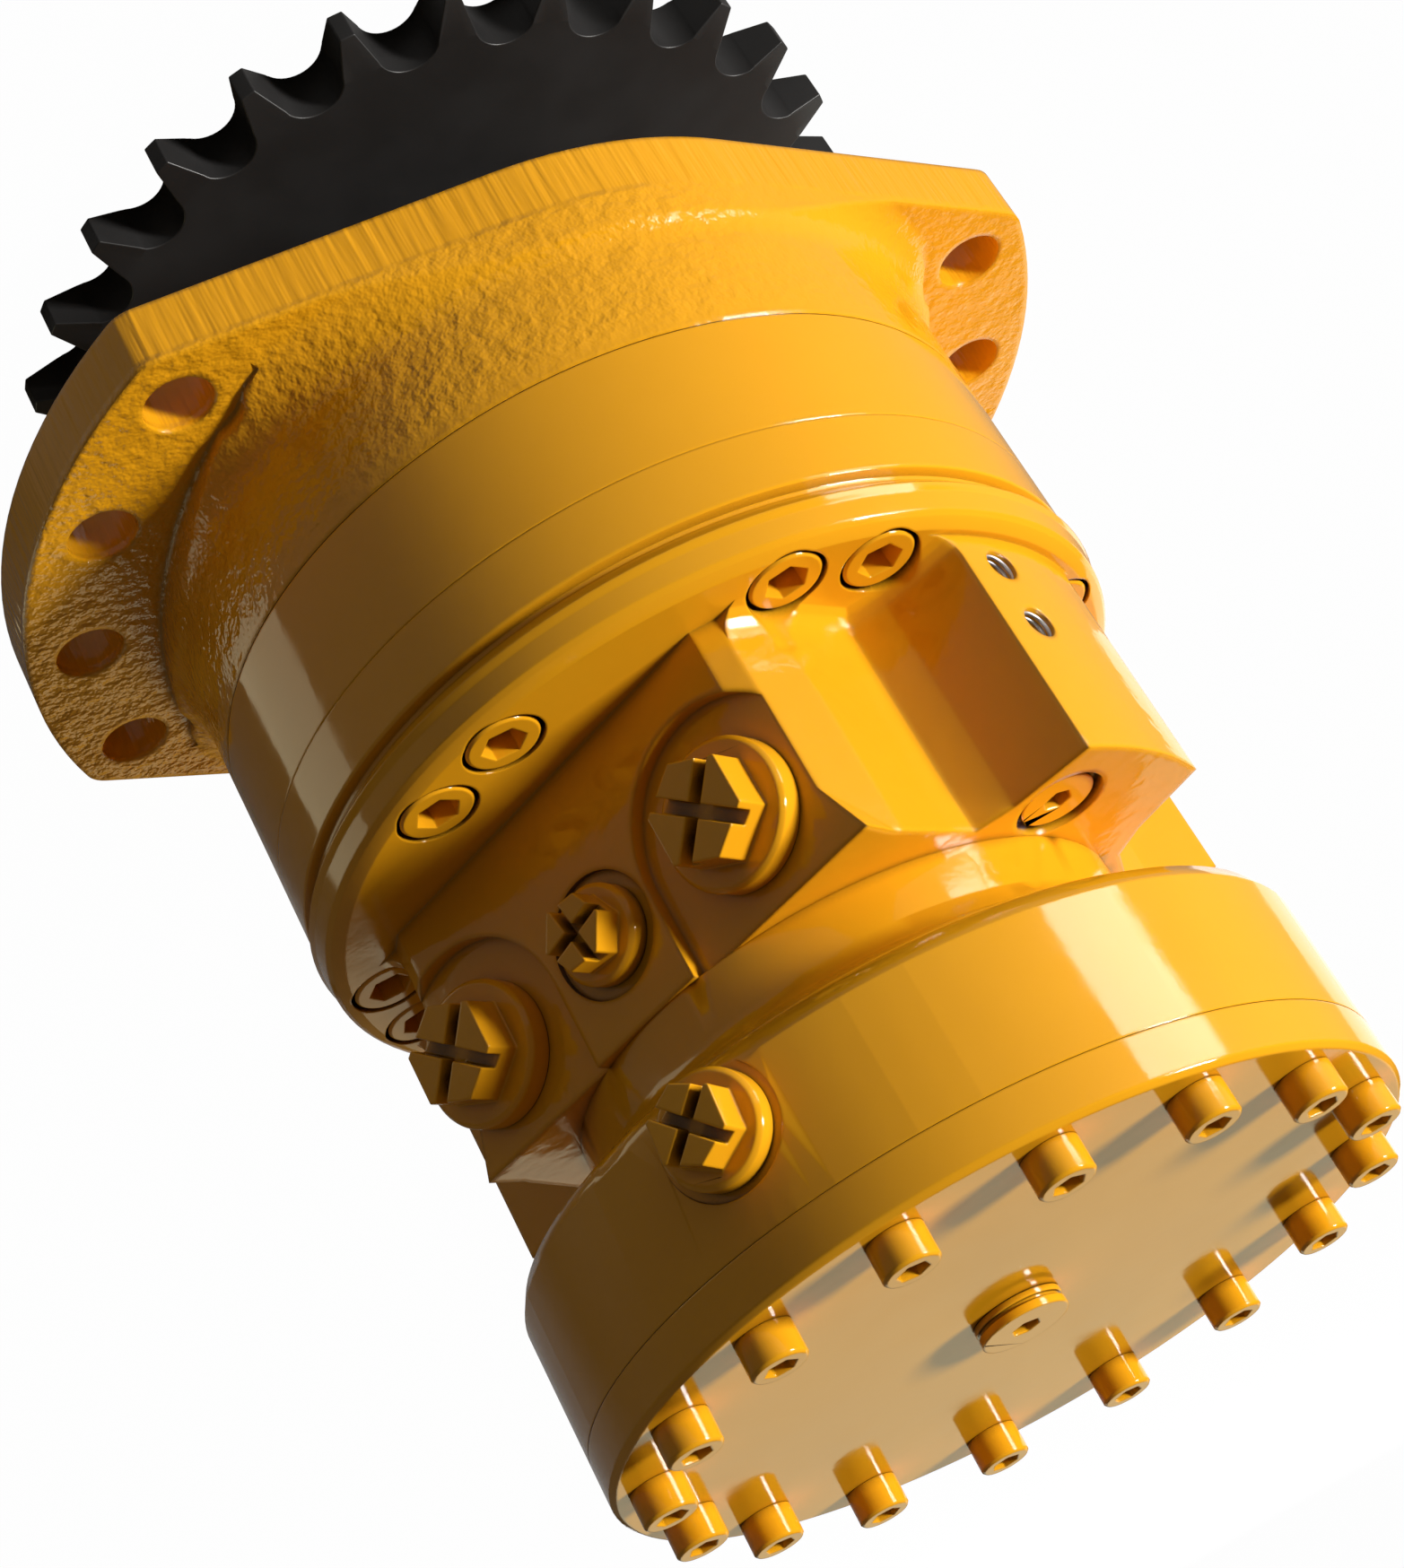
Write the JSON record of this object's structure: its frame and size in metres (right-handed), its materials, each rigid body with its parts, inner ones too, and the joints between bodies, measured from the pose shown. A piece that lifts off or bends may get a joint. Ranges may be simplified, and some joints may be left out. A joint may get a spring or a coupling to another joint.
{
  "type": "radial piston hydraulic motor",
  "caption": "Cam-lobe radial piston hydraulic motor: lobed mounting flange, cam ring, port block with plugged ports, spring-applied parking brake and a chain sprocket on its shaft.",
  "frame": {"origin": "centre of the flange's mounting face, on the shaft's axis", "axes": "+Z along the shaft from the mounting face to the brake cover, +X along the flange's long axis; the part stands on the sprocket's far face"},
  "size_m": [0.282, 0.2327, 0.3294],
  "materials": {
    "yellow_paint": "gloss",
    "bright_steel": "ground",
    "dark_steel": "satin",
    "bronze": "matt friction lining",
    "seal_rubber": "matt"
  },
  "bodies": {
    "case": {"front_case": "yellow_paint", "cam_ring": "yellow_paint", "rear_case": "yellow_paint", "case_bolts": "yellow_paint", "brake_housing": "yellow_paint", "brake_housing_screws": "bright_steel", "brake_cover": "yellow_paint", "cover_screws": "yellow_paint", "cover_plug": "yellow_paint", "port_plug_a": "yellow_paint", "port_plug_b": "yellow_paint", "drain_plug": "yellow_paint", "brake_port_plug": "yellow_paint", "end_plug": "yellow_paint", "front_bearing_cup": "bright_steel", "rear_bearing_cup": "bright_steel", "shaft_seal": "seal_rubber", "distributor": "bright_steel", "distributor_spring": "bright_steel", "distributor_rings": "seal_rubber", "brake_plates": "dark_steel", "brake_spring": "dark_steel"},
    "brake_piston": {"brake_piston": "bright_steel", "brake_piston_rings": "seal_rubber"},
    "rotor": {"output_shaft": "bright_steel", "drive_sprocket": "dark_steel", "sprocket_washer": "dark_steel", "sprocket_screw": "dark_steel", "front_bearing_cone": "bright_steel", "rear_bearing_cone": "bright_steel", "bearing_nut": "dark_steel", "cylinder_block": "bright_steel", "brake_shaft": "bright_steel", "brake_discs": "bronze"},
    "front_roller_set": {"front_bearing_rollers": "bright_steel"},
    "rear_roller_set": {"rear_bearing_rollers": "bright_steel"},
    "piston_1": {"piston_1": "bright_steel"},
    "cam_roller_1": {"cam_roller_1": "bright_steel"},
    "piston_2": {"piston_2": "bright_steel"},
    "cam_roller_2": {"cam_roller_2": "bright_steel"},
    "piston_3": {"piston_3": "bright_steel"},
    "cam_roller_3": {"cam_roller_3": "bright_steel"},
    "piston_4": {"piston_4": "bright_steel"},
    "cam_roller_4": {"cam_roller_4": "bright_steel"},
    "piston_5": {"piston_5": "bright_steel"},
    "cam_roller_5": {"cam_roller_5": "bright_steel"},
    "piston_6": {"piston_6": "bright_steel"},
    "cam_roller_6": {"cam_roller_6": "bright_steel"},
    "piston_7": {"piston_7": "bright_steel"},
    "cam_roller_7": {"cam_roller_7": "bright_steel"},
    "piston_8": {"piston_8": "bright_steel"},
    "cam_roller_8": {"cam_roller_8": "bright_steel"},
    "piston_9": {"piston_9": "bright_steel"},
    "cam_roller_9": {"cam_roller_9": "bright_steel"},
    "piston_10": {"piston_10": "bright_steel"},
    "cam_roller_10": {"cam_roller_10": "bright_steel"}
  },
  "joints": [
    {"name": "shaft_spin", "type": "hinge", "parent": "case", "child": "rotor", "pos_m": [0, 0, 0], "axis": [0, 0, 1], "continuous": true},
    {"name": "front_roller_spin", "type": "hinge", "parent": "case", "child": "front_roller_set", "pos_m": [0, 0, 0.012], "axis": [0, 0, 1], "continuous": true},
    {"name": "rear_roller_spin", "type": "hinge", "parent": "case", "child": "rear_roller_set", "pos_m": [0, 0, 0.041], "axis": [0, 0, 1], "continuous": true},
    {"name": "brake_piston_slide", "type": "slide", "parent": "case", "child": "brake_piston", "axis": [0, 0, 1], "range_m": [0, 0.002], "stiffness_N_per_m": 20000, "springref_m": -0.005, "deforming": ["brake_spring"]},
    {"name": "piston_1_slide", "type": "slide", "parent": "rotor", "child": "piston_1", "axis": [1, 0, 0], "range_m": [0, 0.0016]},
    {"name": "cam_roller_1_spin", "type": "hinge", "parent": "piston_1", "child": "cam_roller_1", "pos_m": [0.064, 0, 0.0749], "axis": [0, 0, 1], "continuous": true},
    {"name": "piston_2_slide", "type": "slide", "parent": "rotor", "child": "piston_2", "axis": [0.809, 0.5878, 0], "range_m": [0, 0.0016]},
    {"name": "cam_roller_2_spin", "type": "hinge", "parent": "piston_2", "child": "cam_roller_2", "pos_m": [0.05178, 0.03762, 0.0749], "axis": [0, 0, 1], "continuous": true},
    {"name": "piston_3_slide", "type": "slide", "parent": "rotor", "child": "piston_3", "axis": [0.309, 0.9511, 0], "range_m": [0, 0.0055]},
    {"name": "cam_roller_3_spin", "type": "hinge", "parent": "piston_3", "child": "cam_roller_3", "pos_m": [0.01978, 0.06087, 0.0749], "axis": [0, 0, 1], "continuous": true},
    {"name": "piston_4_slide", "type": "slide", "parent": "rotor", "child": "piston_4", "axis": [-0.309, 0.9511, 0], "range_m": [0, 0.009]},
    {"name": "cam_roller_4_spin", "type": "hinge", "parent": "piston_4", "child": "cam_roller_4", "pos_m": [-0.01978, 0.06087, 0.0749], "axis": [0, 0, 1], "continuous": true},
    {"name": "piston_5_slide", "type": "slide", "parent": "rotor", "child": "piston_5", "axis": [-0.809, 0.5878, 0], "range_m": [0, 0.0055]},
    {"name": "cam_roller_5_spin", "type": "hinge", "parent": "piston_5", "child": "cam_roller_5", "pos_m": [-0.05178, 0.03762, 0.0749], "axis": [0, 0, 1], "continuous": true},
    {"name": "piston_6_slide", "type": "slide", "parent": "rotor", "child": "piston_6", "axis": [-1, 0, 0], "range_m": [0, 0.0016]},
    {"name": "cam_roller_6_spin", "type": "hinge", "parent": "piston_6", "child": "cam_roller_6", "pos_m": [-0.064, 0, 0.0749], "axis": [0, 0, 1], "continuous": true},
    {"name": "piston_7_slide", "type": "slide", "parent": "rotor", "child": "piston_7", "axis": [-0.809, -0.5878, 0], "range_m": [0, 0.0016]},
    {"name": "cam_roller_7_spin", "type": "hinge", "parent": "piston_7", "child": "cam_roller_7", "pos_m": [-0.05178, -0.03762, 0.0749], "axis": [0, 0, 1], "continuous": true},
    {"name": "piston_8_slide", "type": "slide", "parent": "rotor", "child": "piston_8", "axis": [-0.309, -0.9511, 0], "range_m": [0, 0.0055]},
    {"name": "cam_roller_8_spin", "type": "hinge", "parent": "piston_8", "child": "cam_roller_8", "pos_m": [-0.01978, -0.06087, 0.0749], "axis": [0, 0, 1], "continuous": true},
    {"name": "piston_9_slide", "type": "slide", "parent": "rotor", "child": "piston_9", "axis": [0.309, -0.9511, 0], "range_m": [0, 0.009]},
    {"name": "cam_roller_9_spin", "type": "hinge", "parent": "piston_9", "child": "cam_roller_9", "pos_m": [0.01978, -0.06087, 0.0749], "axis": [0, 0, 1], "continuous": true},
    {"name": "piston_10_slide", "type": "slide", "parent": "rotor", "child": "piston_10", "axis": [0.809, -0.5878, 0], "range_m": [0, 0.0055]},
    {"name": "cam_roller_10_spin", "type": "hinge", "parent": "piston_10", "child": "cam_roller_10", "pos_m": [0.05178, -0.03762, 0.0749], "axis": [0, 0, 1], "continuous": true}
  ],
  "couplings": [
    {"joint": "front_roller_spin", "follows": "shaft_spin", "ratio": 0.451},
    {"joint": "rear_roller_spin", "follows": "shaft_spin", "ratio": 0.451}
  ]
}
